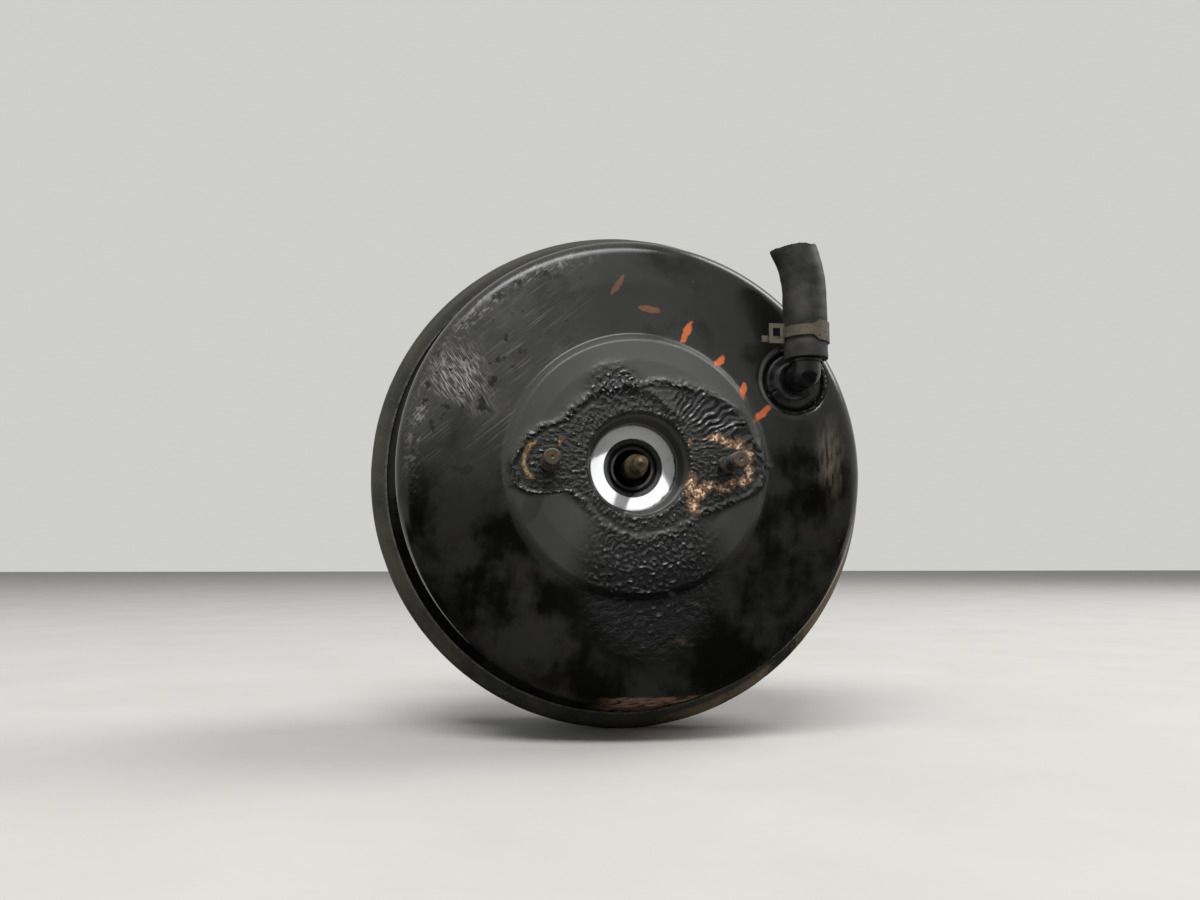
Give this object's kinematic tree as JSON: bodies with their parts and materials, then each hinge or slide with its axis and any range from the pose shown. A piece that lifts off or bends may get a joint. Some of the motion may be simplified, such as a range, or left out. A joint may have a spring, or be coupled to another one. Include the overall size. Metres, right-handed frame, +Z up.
{
  "type": "brake booster",
  "caption": "Vacuum brake booster: pressed shells with a rolled rim, sliding power piston, push rods, check valve and a cut hose stub.",
  "frame": {"origin": "centre of the four bulkhead studs, on the rear shell's mounting face", "axes": "+Y along the booster's axis towards the brake pedal, -Y towards the master cylinder, X along the line of the two master cylinder studs, +Z up"},
  "size_m": [0.2634, 0.288, 0.2634],
  "materials": {
    "shell_paint": "worn semi-gloss black paint",
    "plain_steel": "bare",
    "stud_steel": "oxidised zinc plate",
    "zinc_ring": "bright zinc plate",
    "seal_rubber": "matte",
    "nylon": "matte",
    "spring_steel": "oiled",
    "diaphragm_rubber": "matte",
    "boot_rubber": "matte",
    "grommet_rubber": "matte",
    "valve_plastic": "matte",
    "hose_rubber": "matte, cloth-marked",
    "clamp_steel": "dull zinc",
    "phenolic": "matte",
    "rod_steel": "zinc plate",
    "felt": "felt",
    "zinc_plate": "yellow zinc plate"
  },
  "bodies": {
    "housing": {"front_shell": "shell_paint", "rear_shell": "shell_paint", "front_reinforcement": "plain_steel", "rear_reinforcement": "plain_steel", "master_cylinder_studs": "stud_steel", "firewall_studs": "stud_steel", "front_seal": "seal_rubber", "seal_retainer": "zinc_ring", "rear_seal": "seal_rubber", "rear_bearing": "nylon", "return_spring": "spring_steel", "diaphragm": "diaphragm_rubber", "dust_boot": "boot_rubber", "check_valve_grommet": "grommet_rubber", "check_valve_body": "valve_plastic", "check_valve_elbow": "valve_plastic", "check_valve_spring": "spring_steel", "vacuum_hose": "hose_rubber", "hose_clamp": "clamp_steel"},
    "power_piston": {"valve_body": "phenolic", "diaphragm_plate": "plain_steel", "plate_retainer": "plain_steel", "rod_retainer": "plain_steel", "reaction_disc": "seal_rubber", "output_rod": "rod_steel", "output_rod_tip": "rod_steel", "stop_key": "plain_steel", "poppet": "seal_rubber", "poppet_retainer": "plain_steel", "poppet_spring": "spring_steel", "input_rod_spring": "spring_steel", "silencer": "felt", "air_filter": "felt"},
    "plunger": {"plunger": "rod_steel"},
    "input_rod": {"input_rod": "rod_steel", "lock_nut": "zinc_plate", "clevis": "zinc_plate"},
    "check_disc": {"check_valve_disc": "seal_rubber"}
  },
  "joints": [
    {"name": "piston_stroke", "type": "slide", "parent": "housing", "child": "power_piston", "axis": [0, -1, 0], "range_m": [0, 0.03], "stiffness_N_per_m": 3000, "springref_m": -0.02, "deforming": ["return_spring", "diaphragm", "dust_boot"]},
    {"name": "valve_play", "type": "slide", "parent": "power_piston", "child": "plunger", "axis": [0, -1, 0], "range_m": [0, 0.0015], "stiffness_N_per_m": 4000, "springref_m": -0.003, "deforming": ["input_rod_spring"]},
    {"name": "rod_tilt", "type": "hinge", "parent": "plunger", "child": "input_rod", "pos_m": [0, 0.0005, 0], "axis": [1, 0, 0], "range_deg": [-3, 3], "stiffness_Nm_per_rad": 15, "deforming": ["silencer", "air_filter"]},
    {"name": "check_valve_lift", "type": "slide", "parent": "housing", "child": "check_disc", "axis": [0, -1, 0], "range_m": [0, 0.0015], "stiffness_N_per_m": 100, "springref_m": -0.002, "deforming": ["check_valve_spring"]}
  ]
}
